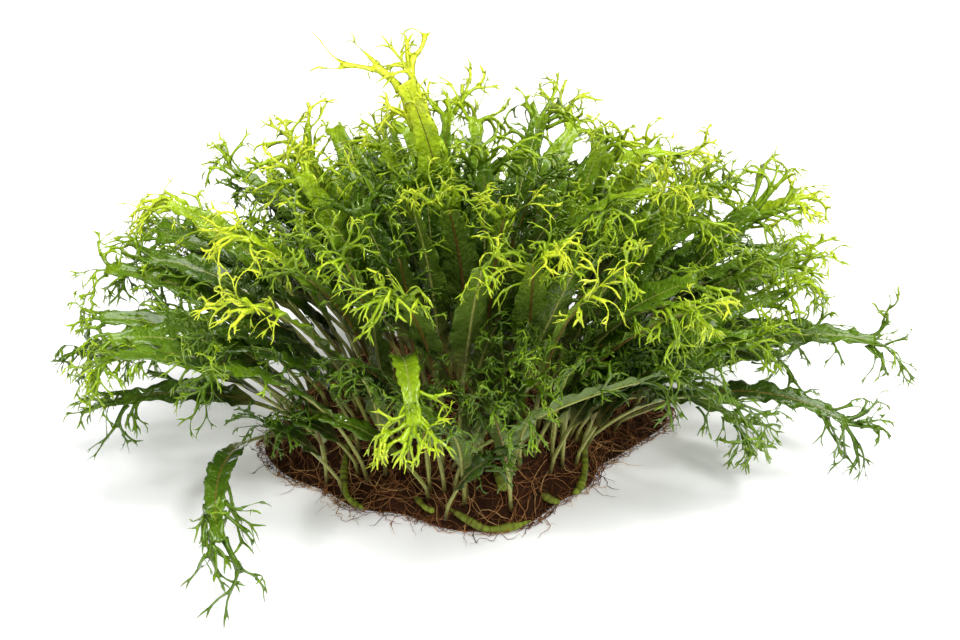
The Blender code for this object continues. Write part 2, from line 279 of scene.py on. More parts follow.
# Stray roots leave the fringe and run outwards over the ground, calmer and straighter.
STRAY_SHARE = 0.08
STRAY_START = 0.06
STRAY_FAN = 0.5
STRAY_STEP = (0.0004, 0.0019)
STRAY_CURL = 0.7
STRAY_CALM = 0.5
STRAY_ARCH = 0.002
ROOT_BROWNS = (
    (0.0, (0.020, 0.007, 0.003)),
    (0.45, (0.190, 0.068, 0.022)),
    (0.75, (0.470, 0.220, 0.075)),
    (1.0, (0.760, 0.500, 0.200)),
)


def unit(vectors):
    """Vectors made one long."""
    return vectors / (np.linalg.norm(vectors, axis=-1, keepdims=True) + 1e-12)


def tube_rings(lines, radii, around):
    """Round tubes along lines [tube, ring, xyz], with radii [tube, ring]."""
    heads = unit(np.gradient(lines, axis=1))
    guide = np.zeros_like(heads[:, :1])
    guide[np.arange(len(lines)), 0, np.argmin(abs(heads.mean(axis=1)), axis=1)] = 1.0
    side = unit(np.cross(guide, heads))
    top = np.cross(heads, side)
    turn = np.arange(around) * math.tau / around
    spoke = side[:, :, None] * np.cos(turn)[:, None] + top[:, :, None] * np.sin(turn)[:, None]
    return lines[:, :, None] + spoke * radii[:, :, None, None]


def root_lines(rng):
    """Lines of all roots, each a wandering walk over the flank and crown of the mat."""
    angle = rng.uniform(0, math.tau, ROOTS)
    climb = ROOT_START * rng.uniform(0.0, 1.0, ROOTS) ** ROOT_CROWDING
    heading = rng.uniform(0, math.tau, ROOTS)
    bend = rng.normal(0, ROOT_CURL, ROOTS)
    stray = rng.uniform(0, 1, ROOTS) < STRAY_SHARE
    climb[stray] = rng.uniform(0.0, STRAY_START, stray.sum())
    heading[stray] = rng.normal(math.pi, STRAY_FAN, stray.sum())
    bend[stray] *= STRAY_CURL
    step = np.where(stray, rng.uniform(*STRAY_STEP, ROOTS), ROOT_STEP)
    calm = np.where(stray, STRAY_CALM, 1.0)
    wave = rng.uniform(0, math.tau, (3, ROOTS))
    depth = rng.uniform(*ROOT_DEPTH, ROOTS)
    reach = MAT_LENGTH / 2 + MAT_HEIGHT
    lines = []
    for k in range(ROOT_POINTS):
        height, share = mat_way(np.maximum(climb, 0.0))
        over = np.maximum(-climb * reach, 0.0)
        lift = ROOT_LIFT * (depth + 0.7 * np.sin(1.1 * k + wave[0]) + 0.4 * np.sin(2.3 * k + wave[1]))
        arch = np.clip(over, 0, STRAY_ARCH) * (1 + np.sin(0.8 * k + wave[2])) / 2
        inward = np.clip(climb * 2.4, 0.0, 1.0)
        out = share * mat_radius(angle) + over + lift * (1 - inward)
        rise = np.maximum(height + lift * inward + arch, ROOT_FLOOR)
        lines.append(np.stack([out * np.cos(angle), out * np.sin(angle), rise], axis=1))
        heading += bend + rng.normal(0, ROOT_WANDER, ROOTS) * calm
        climb = climb + np.cos(heading) * step / reach
        climb = np.where(stray, climb, np.abs(climb))
        angle = angle + np.sin(heading) * step / np.maximum(out, 0.02)
    return np.stack(lines, axis=1)


rng = np.random.default_rng(3)
lines = root_lines(rng)
radius = rng.uniform(*ROOT_RADIUS, ROOTS)
taper = np.interp(np.linspace(0, 1, ROOT_POINTS), *ROOT_TAPER)
rings = tube_rings(lines, radius[:, None] * taper, 3)
marks = blank_marks(rings)
marks[..., TONE] = np.clip(rng.normal(*ROOT_TONE, ROOTS), 0.05, 1.0)[:, None, None]
roots = Skin()
roots.add(rings, marks, map_cells(ROOTS, 0.0, 0.0, 1.0, 1.0))
roots_piece = roots.build("roots", root_finish("root_fibre", ROOT_BROWNS, 0.55, 1800.0, 0.4))

# ---- Rhizomes ----
# The creeping stems that the fronds grow from: slim yellow-green rods with a darker ring at each old
# leaf scar and a blunt growing end, bedded among the roots on the flank of the mat.

# Name, radius, and the way along the flank as pairs of the angle round the mat and the height.
RHIZOMES = (
    ("rhizome_left_curved", 0.0024, ((224, 0.027), (226, 0.020), (229, 0.012), (234, 0.006), (241, 0.0032))),
    ("rhizome_front_left_stub", 0.0022, ((255, 0.010), (259, 0.0075), (262, 0.0075))),
    ("rhizome_front_runner", 0.0026, ((266, 0.010), (271, 0.007), (276, 0.0034), (282, 0.0032), (288, 0.0036))),
    ("rhizome_front_stub", 0.0028, ((280, 0.024), (281, 0.020), (282, 0.016))),
    ("rhizome_front_right_stub", 0.0027, ((294, 0.010), (297, 0.006), (300, 0.0036))),
    ("rhizome_right_curved", 0.0026, ((326, 0.022), (322, 0.017), (316, 0.010), (309, 0.0046), (306, 0.0034))),
    ("rhizome_back_right", 0.0026, ((40, 0.018), (48, 0.013), (56, 0.010), (64, 0.0085))),
    ("rhizome_back_left", 0.0025, ((128, 0.022), (134, 0.016), (142, 0.010), (148, 0.0050))),
)
RHIZOME_RINGS = 56
RHIZOME_AROUND = 14
RHIZOME_GIRTH = 0.66  # share of the radius that stands free of the roots around it
RHIZOME_SMOOTHINGS = 14
RHIZOME_FLOOR = 0.0003
SCAR_SPACING = 0.0032
RHIZOME_GREENS = (
    (0.0, (0.040, 0.022, 0.008)),
    (0.30, (0.085, 0.085, 0.012)),
    (0.60, (0.200, 0.270, 0.024)),
    (1.0, (0.460, 0.520, 0.070)),
)


def rhizome_line(way, radius):
    """Smooth line of a rhizome, sunk a little into the mat's flank."""
    stops = np.linspace(0, len(way) - 1, RHIZOME_RINGS)
    angles = np.radians(np.interp(stops, range(len(way)), [angle for angle, height in way]))
    heights = np.interp(stops, range(len(way)), [height for angle, height in way])
    out = mat_share(np.maximum(heights - radius, 0.0)) * mat_radius(angles) + 0.15 * radius
    rise = np.maximum(heights - 0.3 * radius, 0.7 * radius)
    line = np.column_stack([out * np.cos(angles), out * np.sin(angles), rise])
    for _ in range(RHIZOME_SMOOTHINGS):
        line[1:-1] = (line[:-2] + 2 * line[1:-1] + line[2:]) / 4
    return line


rhizome_look = root_finish("rhizome", RHIZOME_GREENS, 0.38, 700.0, 0.25)
for order, (name, radius, way) in enumerate(RHIZOMES):
    rng = np.random.default_rng(40 + order)
    line = rhizome_line(way, radius)
    along = np.concatenate([[0.0], np.cumsum(np.linalg.norm(np.diff(line, axis=0), axis=1))])
    scar = np.abs(np.sin(math.pi * along / SCAR_SPACING + 1.1 * np.sin(along * 310 + order))) ** 0.35
    blunt = np.clip(1 - np.abs(np.linspace(-1, 1, RHIZOME_RINGS)) ** 5, 0.01, 1.0) ** 0.6
    swell = 0.95 + 0.05 * scar + 0.16 * np.sin(along * 330 + 2 * order)
    girth = RHIZOME_GIRTH * radius * blunt * swell
    rings = tube_rings(line[None], girth[None], RHIZOME_AROUND)
    turn = np.arange(RHIZOME_AROUND) * math.tau / RHIZOME_AROUND
    knob = 0.10 * np.sin(2 * turn[None, :] + along[:, None] * 500) * scar[:, None]
    rings = line[None, :, None] + (rings - line[None, :, None]) * (1 + knob[None, :, :, None])
    rings[..., 2] = np.maximum(rings[..., 2], RHIZOME_FLOOR)
    marks = blank_marks(rings)
    ripe = 0.20 + 0.36 * scar * np.linspace(0.5, 1.3, RHIZOME_RINGS) + rng.normal(0, 0.08, RHIZOME_RINGS)
    marks[..., TONE] = ripe[None, :, None]
    skin = Skin()
    skin.add(rings, marks, map_cells(1, 0.0, 0.0, 1.0, 1.0))
    piece = skin.build(name + "_stem", rhizome_look)
    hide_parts(name)

# ---- Fronds ----
# Each frond is one leaf: a thin pale stalk, a strap-shaped blade quilted between its side veins, and
# a crest that forks again and again into fine tips. It grows as one piece and springs from the mat.

STALK_HALF_WIDTH = 0.0014
BLADE_START = 0.30
CREST_START = 0.80
# The blade swells by a sine to these powers, and keeps this share of its width up to the crest.
SWELL_SKEW = 0.75
SWELL_FULLNESS = 0.7
NECK_SHARE = 0.42
CREST_SPREAD = 0.019
STEPS = 41
DROOP_POWER = 1.5
SWING_POWER = 1.4
ROLL_HEIGHT = 0.03
GROUND_GAP = 0.0016
STAND_OFF = 0.0011
FOOT_RELIEF = 0.0022

# Fronds placed singly: name, foot across and back, heading, rise, droop, length, blade width, swing,
# roll, youth, in metres and degrees. Youth runs from 0, old and dark, to 1, new and yellow-green.
PLACED_FRONDS = (
    ("frond_tallest", -0.004, -0.012, 110, 88, 34, 0.186, 0.0165, 70, -60, 1.0),
    ("frond_trailing_left", -0.084, -0.034, 246, 26, 62, 0.176, 0.0120, 50, 6, 0.3),
    ("frond_front_hanging", -0.030, -0.060, 274, 78, 168, 0.154, 0.0120, 6, 0, 1.0),
    ("frond_front_level", -0.016, -0.086, 190, 60, 70, 0.082, 0.0100, -16, -30, 0.9),
    ("frond_pale_upright", 0.014, -0.068, 0, 69, 6, 0.114, 0.0185, 8, -100, 0.3),
    ("frond_pale_leaning", -0.006, -0.080, -6, 36, 28, 0.122, 0.0160, 4, -50, 0.4),
    ("frond_right_broad", 0.040, -0.052, -2, 40, 44, 0.132, 0.0190, 6, 42, 0.5),
    ("frond_right_low", 0.056, -0.030, -16, 34, 96, 0.102, 0.0140, -10, 0, 0.8),
    ("frond_right_long", 0.084, 0.002, -4, 32, 56, 0.150, 0.0150, -10, 26, 0.3),
    ("frond_right_fallen", 0.072, -0.022, -12, 32, 80, 0.148, 0.0135, -16, 20, 0.3),
    ("frond_right_quilted", 0.050, -0.038, 4, 48, 54, 0.140, 0.0180, 4, 40, 0.5),
    ("frond_right_leaning", 0.046, -0.026, 12, 64, 16, 0.132, 0.0165, 0, 64, 0.5),
    ("frond_right_dark", 0.070, -0.006, 10, 60, 30, 0.140, 0.0190, 0, 52, 0.1),
    ("frond_right_loop", 0.026, 0.034, 16, 92, 150, 0.182, 0.0155, -10, 0, 0.9),
    ("frond_right_tip", 0.056, 0.012, -2, 53, 44, 0.170, 0.0150, 6, 28, 0.8),
    ("frond_upper_right", 0.024, -0.010, -20, 88, 104, 0.170, 0.0150, 0, 10, 0.7),
    ("frond_left_dark", -0.082, -0.010, 180, 35, 64, 0.130, 0.0170, 8, -34, 0.0),
    ("frond_left_low", -0.070, -0.042, 200, 36, 66, 0.120, 0.0150, -14, -30, 0.2),
    ("frond_left_olive", -0.072, -0.026, 174, 42, 34, 0.106, 0.0160, 0, -48, 0.4),
    ("frond_left_level", -0.064, 0.002, 178, 54, 66, 0.136, 0.0180, 0, -30, 0.1),
    ("frond_left_tip", -0.060, 0.018, 172, 56, 42, 0.146, 0.0170, 4, -36, 0.9),
    ("frond_left_upright", -0.040, 0.004, 160, 78, 28, 0.144, 0.0160, 0, -70, 0.6),
    ("frond_upper_left", -0.032, -0.026, 160, 78, 40, 0.146, 0.0160, 0, -50, 0.9),
    ("frond_middle_dark", -0.014, -0.048, 150, 74, 20, 0.132, 0.0200, 0, -50, 0.0),
    ("frond_middle_left", -0.012, -0.026, 110, 85, 14, 0.120, 0.0170, 0, -20, 0.1),
    ("frond_middle_back", 0.010, -0.034, 92, 84, 12, 0.140, 0.0180, 0, 0, 0.1),
)

# Fronds by rule have their feet on a sunflower spiral over the mat, and lean further the nearer its
# edge. A rule says how many there are, how far the spiral is shifted and the share of the mat that
# it covers, then the jitter of the heading, the loss of rise towards the edge and its jitter, the
# droop inside, its gain towards the edge and its jitter, the ranges of length and width, the jitter
# of the swing, and the range of the roll.
Rule = namedtuple(
    "Rule", "count shift cover turn rise_loss rise droop_inside droop_gain droop length width swing roll"
)
BIG_FRONDS = Rule(27, 0, 0.84, 14, 42, 4, 16, 62, 8, (0.126, 0.154), (0.013, 0.018), 22, (-8, 44))
SPIRAL_TURN = math.pi * (3 - math.sqrt(5))
RISE_INSIDE = 88
RISE_POWER = 1.2
DROOP_LEAN = 0.55
# Change of the lean for fronds that head to the front, by a power of how far, and to the back.
FRONT_LEAN_LOSS = 0.62
FRONT_LEAN_POWER = 1.5
BACK_LEAN_GAIN = 0.12
# Clearance between fronds, tested on points this far apart, from a share of the length outwards.
CLEARANCE = 0.0034
CLOUD_SPACING = 0.004
CLOUD_START = 0.02
CREST_WIDENING = (0.27, 1.18)
TURN_TRIES = (0, 7, -7, 14, -14, 22, -22, 30, -30, 40, -40, 52, -52)
RISE_TRIES = (0, 7, -7, 14)


def foot_on_mat(x, y):
    """The point where a frond leaves the mat above (x, y)."""
    share = math.hypot(x, y) / mat_radius(math.atan2(y, x))
    return np.array([x, y, mat_height(share) + STAND_OFF + FOOT_RELIEF * share])


def centre_line(foot, row):
    """A frond's centre line and the unit vectors across its blade, one of each for every step."""
    heading, rise, droop, length, width, swing, roll = row
    share = np.linspace(0.0, 1.0, STEPS)
    lift = np.radians(rise - droop * share**DROOP_POWER)
    turn = np.radians(heading + swing * share**SWING_POWER)
    heads = np.column_stack([np.cos(lift) * np.cos(turn), np.cos(lift) * np.sin(turn), np.sin(lift)])
    strides = (heads[1:] + heads[:-1]) / 2 * length / (STEPS - 1)
    points = foot + np.vstack([np.zeros(3), np.cumsum(strides, axis=0)])
    points[:, 2] = np.maximum(points[:, 2], GROUND_GAP)
    level = np.column_stack([-np.sin(turn), np.cos(turn), np.zeros(STEPS)])
    above = np.cross(heads, level)
    tilt = np.radians(roll) * np.sqrt(share) * np.clip(points[:, 2] / ROLL_HEIGHT, 0.0, 1.0)
    return points, level * np.cos(tilt)[:, None] + above * np.sin(tilt)[:, None]


def half_width(share, width):
    """Half the width at shares of the frond's length: stalk, then a lance-shaped blade."""
    blade = np.clip((share - BLADE_START) / (CREST_START - BLADE_START), 0.0, None)
    swell = np.sin(math.pi * np.minimum(blade, 1.0) ** SWELL_SKEW) ** SWELL_FULLNESS
    return STALK_HALF_WIDTH + (width / 2 - STALK_HALF_WIDTH) * np.maximum(swell, NECK_SHARE * blade)


def on_line(share, line):
    """Values of a per-step array at shares of the frond's length."""
    steps = np.linspace(0.0, 1.0, STEPS)
    return np.stack([np.interp(share, steps, line[:, axis]) for axis in range(3)], axis=-1)


def clearance_cloud(foot, row):
    """Points over a frond's blade and crest, for the test that fronds stand clear of each other."""
    line, across = centre_line(foot, row)
    cloud = []
    for share in np.linspace(CLOUD_START, 1.0, STEPS):
        crest = CREST_SPREAD * np.interp(share, (CREST_START, 1.0), CREST_WIDENING)
        half = half_width(share, row[4]) if share < CREST_START else crest
        count = max(1, math.ceil(2 * half / CLOUD_SPACING))
        offsets = np.linspace(-half, half, count + 1)[:, None]
        cloud.append(on_line(share, line) + on_line(share, across) * offsets)
    cloud = np.concatenate(cloud)
    cloud[:, 2] = np.maximum(cloud[:, 2], GROUND_GAP)
    return cloud


def stands_clear(cloud, others):
    """True where a frond's cloud keeps the clearance to every frond already placed."""
    for other in others:
        if (cloud.min(axis=0) > other.max(axis=0) + CLEARANCE).any():
            continue
        if (cloud.max(axis=0) < other.min(axis=0) - CLEARANCE).any():
            continue
        gaps = ((cloud[:, None, :] - other[None, :, :]) ** 2).sum(axis=2)
        if gaps.min() < CLEARANCE**2:
            return False
    return True


def lean_share(heading):
    """How far a frond by rule leans out: little at the front, most at the two sides."""
    back = math.sin(math.radians(heading))
    return 1.0 - FRONT_LEAN_LOSS * max(-back, 0.0) ** FRONT_LEAN_POWER + BACK_LEAN_GAIN * max(back, 0.0)


def light_side(heading):
    """Which way a frond's blade rolls to turn its top to the light."""
    return math.copysign(1.0, math.cos(math.radians(heading)))


def ruled_frond(rng, rule, k):
    """Angle round the mat of one frond by rule, with the place of its foot and its shape."""
    out = math.sqrt((k + 0.5) / rule.count)
    angle = (k + rule.shift) * SPIRAL_TURN
    radius = out * rule.cover * mat_radius(angle)
    heading = math.degrees(angle) + rng.uniform(-rule.turn, rule.turn)
    lean = lean_share(heading)
    rise = RISE_INSIDE - rule.rise_loss * out**RISE_POWER * lean + rng.uniform(-rule.rise, rule.rise)
    bow = 1 - DROOP_LEAN + DROOP_LEAN * lean
    droop = rule.droop_inside + rule.droop_gain * out * bow + rng.uniform(-rule.droop, rule.droop)
    length = rng.uniform(*rule.length)
    width = rng.uniform(*rule.width)
    swing = rng.uniform(-rule.swing, rule.swing)
    roll = rng.uniform(*rule.roll) * light_side(heading)
    row = (heading, rise, droop, length, width, swing, roll)
    return angle, (radius * math.cos(angle), radius * math.sin(angle)), row


def lay_out_fronds():
    """Name, foot, shape and youth of every frond of the frame, placed as they are there."""
    fronds, clouds = [], []
    for name, x, y, *row, youth in PLACED_FRONDS:
        foot = foot_on_mat(x, y)
        fronds.append((name, foot, tuple(row), youth))
        clouds.append(clearance_cloud(foot, row))
    rng = np.random.default_rng(11)
    for k in range(BIG_FRONDS.count):
        _, spot, (heading, rise, *rest) = ruled_frond(rng, BIG_FRONDS, k)
        foot, youth = foot_on_mat(*spot), rng.uniform(0, 1)
        for turn, lift in [(turn, lift) for lift in RISE_TRIES for turn in TURN_TRIES]:
            row = (heading + turn, rise + lift, *rest)
            cloud = clearance_cloud(foot, row)
            if stands_clear(cloud, clouds):
                fronds.append((f"frond_{len(fronds) + 1:02d}", foot, row, youth))
                clouds.append(cloud)
                break
    return fronds


# Colours of the leaf from old and shaded to new and lit, of its underside and of its ribs.
LEAF_GREENS = (
    (0.00, (0.005, 0.015, 0.0005)),
    (0.25, (0.026, 0.070, 0.001)),
    (0.50, (0.110, 0.215, 0.003)),
    (0.75, (0.370, 0.540, 0.008)),
    (1.00, (0.780, 0.880, 0.040)),
)
UNDERSIDE = (0.140, 0.215, 0.028)
RIB_CREAM = (0.480, 0.460, 0.130)
RIB_RUST = (0.180, 0.095, 0.020)
FOOT_BROWN = (0.050, 0.026, 0.012)
SPECK_BROWN = (0.055, 0.035, 0.010)
VEIN_GREEN = (0.070, 0.140, 0.040)
RUSTY_OVER = 0.66  # ribs with a rust mark over this are rust-brown
VEIN_SPACING = 0.0044
VEIN_SLANT = 1.7  # how many spacings further on a vein meets the margin than it leaves the midrib
PLAIN_ALONG = VEIN_SPACING / 2  # a place along the leaf where no vein runs


def mixed(tree, fac, first, second):
    """Colour mix of two colours or sockets."""
    made = tree.nodes.new("ShaderNodeMix")
    made.data_type = "RGBA"
    for socket, value in zip((made.inputs[0], made.inputs[6], made.inputs[7]), (fac, first, second)):
        if isinstance(value, bpy.types.NodeSocket):
            tree.links.new(value, socket)
        elif socket.type == "RGBA":
            socket.default_value = (*value, 1.0)
        else:
            socket.default_value = value
    return made.outputs[2]


def sums(tree, operation, first, second, third=0.0, clamp=False):
    """One Math node."""
    inputs = {0: first, 1: second, 2: third}
    return wire(tree, "Math", inputs, operation=operation, use_clamp=clamp)


def leaf_finish(name, specks):
    """Wet leaf: green by its tone mark, veined, paler beneath, with cream ribs and a few brown specks."""
    made, tree, shader = new_finish(
        name, Roughness=0.30, Specular_Tint=(0.8, 1.0, 0.35, 1.0), Coat_Weight=0.55, Coat_Roughness=0.04
    )
    offset, along, rib = mark_parts(tree, "leaf")
    light, under, rust = mark_parts(tree, "look")
    place = wire(tree, "TexCoord").node.outputs["Object"]
    across = sums(tree, "ABSOLUTE", offset, 0.0)
    sway = wire(tree, "TexNoise", {"Vector": place, "Scale": 90.0, "Detail": 2.0})
    swept = sums(tree, "MULTIPLY_ADD", sway, 1.7, sums(tree, "DIVIDE", along, VEIN_SPACING))
    swept = sums(tree, "MULTIPLY_ADD", across, -VEIN_SLANT, swept)
    wave = sums(tree, "ABSOLUTE", sums(tree, "SINE", sums(tree, "MULTIPLY", swept, math.pi), 0.0), 0.0)
    vein = sums(tree, "POWER", sums(tree, "SUBTRACT", 1.0, wave), 4.0)
    vein = sums(tree, "MULTIPLY", vein, sums(tree, "MINIMUM", sums(tree, "MULTIPLY", across, 30.0), 1.0))
    cloud = wire(tree, "TexNoise", {"Vector": place, "Scale": 120.0, "Detail": 3.0})
    tone = sums(tree, "MULTIPLY_ADD", cloud, 0.30, sums(tree, "SUBTRACT", light, 0.15))
    tone = sums(tree, "MULTIPLY_ADD", vein, 0.05, tone, clamp=True)
    colour = ramp(tree, tone, LEAF_GREENS)
    beneath = mixed(tree, 0.62, colour, UNDERSIDE)
    beneath = mixed(tree, sums(tree, "MULTIPLY", vein, 0.35), beneath, VEIN_GREEN)
    colour = mixed(tree, under, colour, beneath)
    rusty = sums(tree, "GREATER_THAN", rust, RUSTY_OVER)
    rib_colour = mixed(tree, rusty, mixed(tree, 0.30, RIB_CREAM, colour), RIB_RUST)
    colour = mixed(tree, sums(tree, "MINIMUM", rib, 1.0), colour, rib_colour)
    colour = mixed(tree, sums(tree, "SUBTRACT", rib, 1.0, clamp=True), colour, FOOT_BROWN)
    spots = wire(tree, "TexNoise", {"Vector": place, "Scale": 330.0, "Detail": 2.0})
    spots = sums(tree, "MULTIPLY", sums(tree, "SUBTRACT", spots, 1.0 - specks), 14.0, clamp=True)
    colour = mixed(tree, spots, colour, SPECK_BROWN)
    tree.links.new(colour, shader.inputs["Base Color"])
    grain = wire(tree, "TexNoise", {"Vector": place, "Scale": 420.0, "Detail": 3.0})
    height = sums(tree, "MULTIPLY_ADD", vein, -0.35, sums(tree, "MULTIPLY", grain, 1.9))
    rough = wire(tree, "Bump", {"Height": height, "Strength": 0.9, "Distance": 0.0009})
    tree.links.new(rough, shader.inputs["Normal"])
    return made


# A leaf that dips below this height lies pressed on the ground, by an easing over the second length.
FLOOR_FADE = 0.0004
FLOOR_EASE = 0.0012
# The clump's outer shell, and how much light is painted into the leaves' colour: none inside this share of the
# shell, where the leaves are darkened as painted shade, some on the shell at the ground, and more up to this
# height. The painted light makes leaves paler and yellower.
SHELL = (0.20, 0.19, 0.185)
SHELL_INSIDE = 0.45
GROUND_LIGHT = 0.34
SKY_LIGHT = 1.22
SKY_HEIGHT = 0.17


def above_floor(points):
    """Points with any that dip to the ground pressed together just above it."""
    height = points[..., 2]
    pressed = FLOOR_FADE * np.exp((height - FLOOR_FADE) / FLOOR_EASE)
    points[..., 2] = np.where(height < FLOOR_FADE, pressed, height)
    return points


def painted_light(points):
    """Painted light at a point, from 0 deep inside the clump, which is painted shade, to most at its top."""
    reach = np.linalg.norm(points / SHELL, axis=-1)
    outward = np.clip((reach - SHELL_INSIDE) / (1 - SHELL_INSIDE), 0.0, 1.0)
    return outward * (GROUND_LIGHT + SKY_LIGHT * np.clip(points[..., 2] / SKY_HEIGHT, 0.0, 1.0))


# The blade's forms. Waves along it have their radians for each metre, and then their strength and
# the shift between the two margins, or the range that the wave is drawn from.
BLADE_FOOT = 0.05
BLADE_END = CREST_START + 0.015
BLADE_FOOT_WIDTH = ((0.05, 0.12), (0.5, 1.0))
BLADE_THICKNESS = 0.00042
MARGIN_LOBES = ((520, 0.06, 1.7), (1150, 0.05, 2.1))
CHANNEL_DEPTH = (0.10, 0.30)
RUFFLE_WAVES = ((330, 520), (800, 1000))
RUFFLE_HEIGHT = (0.0006, 0.0014)
QUILT_HEIGHT = 0.0013


def add_blade(skin, rng, frond, steps, half_count, cell):
    """The blade: a closed double sheet, quilted, channelled and ruffled towards its margins."""
    line, across, length, width, tone = frond
    share = np.linspace(BLADE_FOOT, BLADE_END, steps)
    place, side = on_line(share, line), on_line(share, across)
    top = unit(np.cross(unit(np.gradient(place, axis=0)), side))
    along = (share * length)[:, None]
    offset = np.linspace(1.0, -1.0, half_count)
    offset = np.sign(offset) * np.abs(offset) ** 0.85
    hand, margin = np.sign(offset), np.abs(offset)[None, :]
    blade = np.clip((share - BLADE_START) / (CREST_START - BLADE_START), 0.0, 1.0)[:, None]
    fullness = np.clip(blade * 5, 0.0, 1.0)
    phase = rng.uniform(0, math.tau, 6)
    lobes = sum(
        strength * np.sin(along * pitch + start + shift * hand)
        for start, (pitch, strength, shift) in zip(phase, MARGIN_LOBES)
    )
    half = half_width(share, width)[:, None] * (1 + lobes * fullness)
    half = half * np.interp(share, *BLADE_FOOT_WIDTH)[:, None]
    lift = rng.uniform(*CHANNEL_DEPTH) * half * margin**1.5
    ruffle = np.sin(along * rng.uniform(*RUFFLE_WAVES[0]) + phase[2] + 1.4 * hand)
    ruffle = ruffle + 0.5 * np.sin(along * rng.uniform(*RUFFLE_WAVES[1]) + phase[3] + hand)
    lift = lift + rng.uniform(*RUFFLE_HEIGHT) * ruffle * margin**2.2 * fullness
    veins = along / VEIN_SPACING + 0.35 * np.sin(along * 260 + phase[5]) + 0.25 * hand
    quilt = np.abs(np.sin(math.pi * (veins - VEIN_SLANT * margin))) ** 0.7
    quilt = quilt * (1 + 0.6 * np.sin(along * 410 + phase[4] + hand))
    lift = lift + QUILT_HEIGHT * quilt * np.sqrt(margin) * (1 - margin**5) * fullness
    thick = BLADE_THICKNESS / 2 * (1.25 - margin**2)
    sheet = place[:, None] + side[:, None] * (half * offset[None, :])[:, :, None]
    upper = sheet + top[:, None] * (lift + thick)[:, :, None]
    lower = sheet + top[:, None] * (lift - thick)[:, :, None]
    rings = above_floor(np.concatenate([upper, lower[:, ::-1]], axis=1)[None])
    marks = blank_marks(rings)
    marks[..., ACROSS] = np.concatenate([offset, offset[::-1]])
    marks[..., ALONG] = along
    marks[..., RIB] = (1 - fullness) * 0.55
    # The blade's tone carries painted light by its place in the clump: darker inside as painted shade, paler
    # and yellower at the top.
    marks[..., TONE] = tone - 0.15 + 0.14 * (blade - 0.4) + 0.40 * painted_light(rings)
    marks[:, :, half_count:, UNDER] = 1.0
    marks[..., RUST] = 0.5
    skin.add(rings, marks, cell)


# The rib's thickness and its mark from the brown foot up, over shares of the frond's length.
RIB_AROUND = 6
RIB_RADIUS = (
    (0.0, 0.06, 0.30, 0.55, CREST_START),
    (0.00125, 0.00098, 0.00088, 0.00068, 0.00040),
)
RIB_FADE = ((0.0, 0.07, 0.2, 1.0), (1.9, 1.0, 1.0, 0.9))
RIB_OVER_BLADE = 0.70
FOOT_DEPTH = 0.004


def add_rib(skin, rng, frond, steps, cell):
    """Stalk and midrib: one tapering rod, which stands out most on the underside of the blade."""
    line, across, length, width, tone = frond
    share = np.linspace(0.0, CREST_START, steps)
    place, side = on_line(share, line), on_line(share, across)
    top = np.cross(unit(np.gradient(place, axis=0)), side)
    radius = np.interp(share, *RIB_RADIUS)
    place = place - top * (radius * 0.10 * np.clip(share * 6, 0, 1))[:, None]
    place[0, 2] -= FOOT_DEPTH
    turn = np.arange(RIB_AROUND) * math.tau / RIB_AROUND
    spoke = side[:, None] * np.cos(turn)[:, None] + top[:, None] * np.sin(turn)[:, None]
    rings = above_floor((place[:, None] + spoke * radius[:, None, None])[None])
    upper = np.sin(turn)[None, :] > 0.1
    over_blade = (share > BLADE_START)[:, None]
    marks = blank_marks(rings)
    marks[..., ALONG] = PLAIN_ALONG
    marks[..., RIB] = np.where(upper & over_blade, RIB_OVER_BLADE, np.interp(share, *RIB_FADE)[:, None])
    marks[..., TONE] = tone + 0.1
    marks[..., RUST] = np.where(over_blade, rng.uniform(), 0.5)
    skin.add(rings, marks, cell)


# Crest: its shoots by level, from the blade's end to the tips, with the lengths they are drawn from,
# their steps, and how far they sag. Shares of a shoot's own width are given for one that forks and
# for one that ends in a tip.
SHOOT_LENGTHS = ((0.0070, 0.0160), (0.0056, 0.0130), (0.0044, 0.0100), (0.0024, 0.0066))
SHOOT_STEPS = (5, 5, 4, 3)
SHOOT_SAG = (0.08, 0.26, 0.42, 0.50)
SHOOT_BEND = math.radians(62)
SHOOT_TWIST = math.radians(50)
SHOOT_THICKNESS = 0.00044
FORKING = ((0.0, 0.2, 0.4, 0.6, 0.8, 1.0), (1.0, 0.68, 0.58, 0.60, 0.84, 1.20))
TAPERING = ((0.0, 0.5, 1.0), (1.0, 0.78, 0.34))
FORK_COUNTS = (2, 2, 2, 2, 3)
FORK_SPREAD = (math.radians(24), math.radians(72))
FORK_JITTER = 0.16
FORK_TILT = 0.6
FORK_WIDTH = (0.46, 0.66)
ARM_WIDTH = 0.0041
ARM_ANGLE = (0.45, 0.75)
ARM_PLACE = 0.72
FINGER_WIDTH = 0.0026
FINGER_ANGLE = (0.5, 1.1)
FINGER_PLACE = 0.86
FINGER_SHARE = (0.60, 0.79)


def turned(angle, first, second):
    """Two crossed directions, both turned by an angle from the first towards the second."""
    cos, sin = np.cos(angle), np.sin(angle)
    return cos * first + sin * second, cos * second - sin * first


